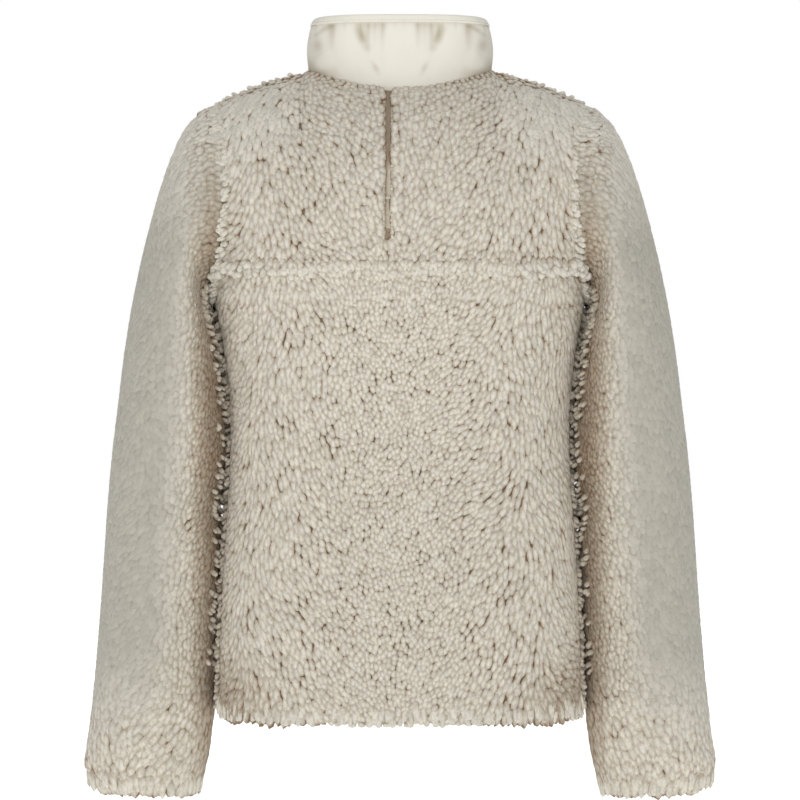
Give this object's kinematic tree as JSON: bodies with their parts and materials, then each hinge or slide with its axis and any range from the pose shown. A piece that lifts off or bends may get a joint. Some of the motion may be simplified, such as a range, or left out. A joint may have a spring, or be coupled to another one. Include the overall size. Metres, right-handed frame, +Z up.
{
  "type": "fleece jacket",
  "caption": "Pile fleece jacket in its worn form: hollow body, set-in sleeves, back yoke, gathered woven stand collar and closed front zip.",
  "frame": {"origin": "the point midway between the sides of the neck, where the shoulder seams begin, in the hollow that the wearer's neck fills", "axes": "+Z up, from the hem to the collar; +Y out of the jacket's back; +X to the wearer's left arm"},
  "size_m": [0.6028, 0.2546, 0.73],
  "materials": {
    "pile_fleece": "matt deep pile",
    "woven_collar": "smooth fine weave",
    "seam_tape": "fine ribbed tape",
    "zip_tape": "woven tape",
    "zip_ivory": "moulded satin",
    "zip_metal": "satin"
  },
  "bodies": {
    "jacket": {"back": "pile_fleece", "yoke_left": "pile_fleece", "yoke_right": "pile_fleece", "yoke_seam_tape": "seam_tape", "front_left": "pile_fleece", "front_right": "pile_fleece", "sleeve_left": "pile_fleece", "sleeve_right": "pile_fleece", "collar": "woven_collar", "collar_casing": "woven_collar", "zip_tape_left": "zip_tape", "zip_tape_right": "zip_tape", "zip_teeth": "zip_ivory", "zip_box": "zip_ivory", "zip_slider": "zip_metal"},
    "pull": {"zip_pull": "zip_metal"}
  },
  "joints": [
    {"name": "pull_swing", "type": "hinge", "parent": "jacket", "child": "pull", "pos_m": [0, -0.0771, -0.0021], "axis": [-1, 0, 0], "range_deg": [0, 165]}
  ]
}
